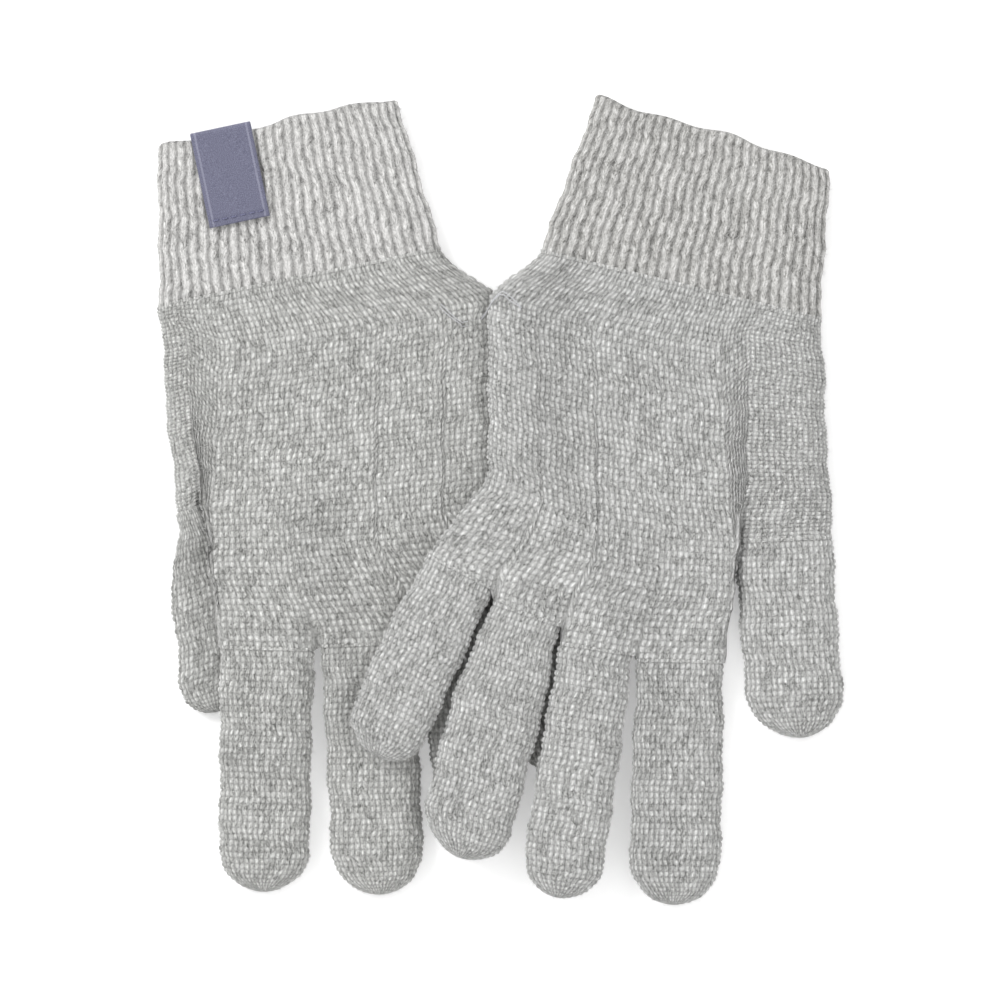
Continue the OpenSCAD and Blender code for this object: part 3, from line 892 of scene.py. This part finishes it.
def add_label(material):
    """The woven label, folded over the lower cuff's mouth, with softly rolled edges."""
    shell = Shell()
    half_t = LABEL_T / 2
    inside = LABEL_W / 2 - LABEL_EDGE
    offsets = list(np.linspace(-inside, inside, LABEL_COLUMNS))
    travelled = 0.0
    rings = []
    coords = []
    before = None
    for y, z, ny, nz in label_path(LABEL_STEP):
        if before is not None:
            travelled += math.hypot(y - before[0], z - before[1])
        before = (y, z)
        ring = []
        coord = []
        for side, xs in ((1, offsets), (-1, offsets[::-1])):
            for x in xs:
                rise = LABEL_RIPPLE * math.sin(x * 0.55 + y * 0.21) * (nz > 0.99)
                h = side * half_t + max(rise, -0.05)
                ring.append(at_mouth(x, y + ny * h, z + nz * h))
                coord.append((x, travelled))
            ring.append(at_mouth(side * LABEL_W / 2, y, z))
            coord.append((side * LABEL_W / 2, travelled))
        rings.append(ring)
        coords.append(coord)
    rings = np.array(rings)
    rows, n = rings.shape[:2]
    first = shell.add_points(rings, 1.0, coords)
    shell.add_faces(ring_faces(first, rows, n, -1))
    add_tip(shell, first, n, rings[0].mean(0), 1.0, (0, 0), 1)
    add_tip(shell, first + (rows - 1) * n, n, rings[-1].mean(0), 1.0, (0, travelled), -1)
    piece = shell.build("woven_label_cloth", [material])
    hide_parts("woven_label")
    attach(piece, "lower_glove")


def add_thread(shell, points, radius, wobble):
    """A twisted thread through points, with rounded ends."""
    sides = THREAD_SIDES
    fine = smooth_line(np.array(points, float), THREAD_STEP)
    rows = len(fine)
    way = np.gradient(fine, axis=0)
    way /= np.linalg.norm(way, axis=1, keepdims=True)
    side = np.cross(way, [0.31, 0.9, 0.12])
    side /= np.linalg.norm(side, axis=1, keepdims=True)
    other = np.cross(way, side)
    turn = np.linspace(0, 2 * math.pi, sides, endpoint=False)
    travelled = np.concatenate([[0], np.cumsum(np.linalg.norm(np.diff(fine, axis=0), axis=1))])
    from_end = np.minimum(travelled, travelled[-1] - travelled)
    r = radius * (0.35 + 0.65 * puff(from_end, radius))
    cos_turn = np.cos(turn)[None, :, None]
    sin_turn = np.sin(turn)[None, :, None]
    grid = fine[:, None] + r[:, None, None] * (cos_turn * side[:, None] + sin_turn * other[:, None])
    strand = 1 + wobble * np.sin(2 * turn[None, :] + 5.0 * travelled[:, None])
    grid = fine[:, None] + (grid - fine[:, None]) * strand[..., None]
    coords = np.stack(np.meshgrid(turn, travelled), -1)
    first = shell.add_points(grid, 1.0, coords)
    shell.add_faces(ring_faces(first, rows, sides, 1))
    add_tip(shell, first, sides, fine[0], 1.0, (0, 0), -1)
    add_tip(shell, first + (rows - 1) * sides, sides, fine[-1], 1.0, (0, 0), 1)


def smooth_line(points, step):
    """A Catmull-Rom curve through points, with even steps."""
    padded = np.concatenate([[2 * points[0] - points[1]], points, [2 * points[-1] - points[-2]]])
    out = []
    for a, b, c, d in zip(padded, padded[1:], padded[2:], padded[3:]):
        for t in np.linspace(0, 1, 12, endpoint=False):
            out.append(0.5 * (2 * b + (c - a) * t + (2 * a - 5 * b + 4 * c - d) * t**2
                              + (3 * b - a - 3 * c + d) * t**3))
    out = np.array(out + [points[-1]])
    arc = np.concatenate([[0], np.cumsum(np.linalg.norm(np.diff(out, axis=0), axis=1))])
    at = np.linspace(0, arc[-1], max(4, int(arc[-1] / step)))
    return np.stack([np.interp(at, arc, out[:, k]) for k in range(3)], 1)


def add_label_stitches(material):
    """The short row of stitches that holds the label's front to the cuff."""
    shell = Shell()
    pitch = (LABEL_W - STITCH_MARGIN) / STITCHES
    z = LABEL_Z + LABEL_R + LABEL_T + STITCH_D / 4
    y = STITCH_MARGIN - LABEL_LEN
    for k in range(STITCHES):
        x = (k + 0.5) * pitch - LABEL_W / 2 + STITCH_MARGIN / 2
        ends = [(-1.0, -0.45), (-0.7, 0.0), (0.0, 0.12), (0.7, 0.0), (1.0, -0.45)]
        points = [at_mouth(x + s * STITCH_LEN / 2, y, z + dz) for s, dz in ends]
        add_thread(shell, points, STITCH_D / 2, wobble=0.12)
    piece = shell.build("label_stitch_row", [material])
    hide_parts("label_stitches")
    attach(piece, "lower_glove")


def add_pairing_thread(material):
    """The doubled thread that holds the pair together, from the lower glove up to the upper."""
    under = TACK_LOW - TACK_SINK
    over = TACK_TOP - TACK_SINK
    route = [
        (-12.8, -0.6, under),
        (-12.2, -1.2, TACK_LOW), (-9.4, -3.8, TACK_LOW), (-6.6, -5.9, TACK_LOW),
        (-5.4, -6.3, under), (0, -4.4, under), (3.4, 0.6, over),
        (6.2, 2.9, TACK_TOP), (9.0, 1.0, TACK_TOP), (11.4, -0.9, TACK_TOP),
        (12.2, -1.9, over),
    ]
    shell = Shell()
    for shift in (-STRAND_SHIFT, STRAND_SHIFT):
        points = []
        for x, y, z in route:
            beside = shift * (1.3 + math.sin(x))
            points.append((TACK[0] + x + 0.4 * shift, TACK[1] + y + beside, z))
        add_thread(shell, points, TACK_D * 0.2, wobble=0.15)
    piece = shell.build("pairing_thread", [material])
    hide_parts("pairing_thread_lower", "pairing_thread_upper")
    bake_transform(piece)


# ---------------------------------------------------------------- the gloves
BEND_FROM = 1.5
BEND_OVER = 17.0
FIXED = [(LOWER, MIDDLE), (LOWER, RING), (LOWER, LITTLE)]


def add_gloves():
    """Both gloves: cuff, hand and five digits each; digits in FIXED hang on their glove, the others
    are baked where they lie.
    """
    fibre = fibre_material("loose_fibre", (150, 150, 148), (232, 232, 230))
    yarns = [
        yarn_material("heather_lower", (108, 109, 106), (201, 201, 198), (250, 250, 248)),
        yarn_material("heather_upper", (111, 112, 109), (204, 204, 202), (250, 250, 249)),
    ]
    # The upper glove's rib is given a darker yarn than the lower glove's.
    ribs = [
        yarn_material("heather_rib_lower", (116, 115, 113), (205, 204, 202), (250, 249, 247)),
        yarn_material("heather_rib_upper", (106, 105, 102), (192, 191, 188), (243, 242, 240)),
    ]
    for g in (LOWER, UPPER):
        add_cuff(g, [ribs[g], fibre])
        add_hand(g, [yarns[g], fibre])
        for d in (THUMB, INDEX, MIDDLE, RING, LITTLE):
            piece = add_digit(g, d, [yarns[g], fibre])
            glove = f"{GLOVE[g]}_glove"
            if (g, d) in FIXED:
                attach(piece, glove)
                continue
            z = HALF_T + float(lie_of(g, d)(*root(g, d)))
            start = root(g, d) + along(lean(g, d)) * BEND_FROM
            end = root(g, d) + along(lean(g, d)) * (BEND_FROM + BEND_OVER)
            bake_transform(piece)


add_gloves()
add_label(label_material())
add_label_stitches(thread_material("label_thread", (92, 93, 124), (132, 133, 160)))
add_pairing_thread(thread_material("white_thread", (176, 177, 180), (236, 236, 240)))


# ---------------------------------------------------------------- floor and light
FLOOR_HALF = 3.0
FLOOR_SHADE = 0.93
FLOOR_GLOW = 0.25
WORLD_STRENGTH = 0.95


def add_floor():
    half = FLOOR_HALF
    corners = [(-half, -half, 0), (half, -half, 0), (half, half, 0), (-half, half, 0)]
    mesh = bpy.data.meshes.new("floor")
    mesh.from_pydata(corners, [], [(0, 1, 2, 3)])
    m = Nodes("floor_paper")
    m.shader.inputs["Base Color"].default_value = (FLOOR_SHADE, FLOOR_SHADE, FLOOR_SHADE, 1)
    m.shader.inputs["Roughness"].default_value = 0.9
    m.shader.inputs["Emission Color"].default_value = (1, 1, 1, 1)
    m.shader.inputs["Emission Strength"].default_value = FLOOR_GLOW
    mesh.materials.append(m.material)
    floor = bpy.data.objects.new("floor", mesh)
    bpy.context.collection.objects.link(floor)


def add_area(name, location, size, energy):
    """A square lamp that points at the middle of the floor."""
    data = bpy.data.lights.new(name, "AREA")
    data.size = size
    data.energy = energy
    light = bpy.data.objects.new(name, data)
    light.location = location
    x, y, z = location
    light.rotation_euler = (math.atan2(math.hypot(x, y), z), 0, math.atan2(y, x) + math.pi / 2)
    bpy.context.collection.objects.link(light)


def add_light():
    world = bpy.data.worlds.new("studio")
    world.use_nodes = True
    background = world.node_tree.nodes["Background"]
    background.inputs[0].default_value = (1, 1, 1, 1)
    background.inputs[1].default_value = WORLD_STRENGTH
    bpy.context.scene.world = world
    add_area("key", (-0.9, 0.7, 1.0), 0.5, 9.0)
    add_area("fill", (0.8, -0.9, 1.3), 1.2, 2.0)


add_floor()
add_light()
view = bpy.context.scene.view_settings
view.view_transform = "Standard"
view.look = "None"
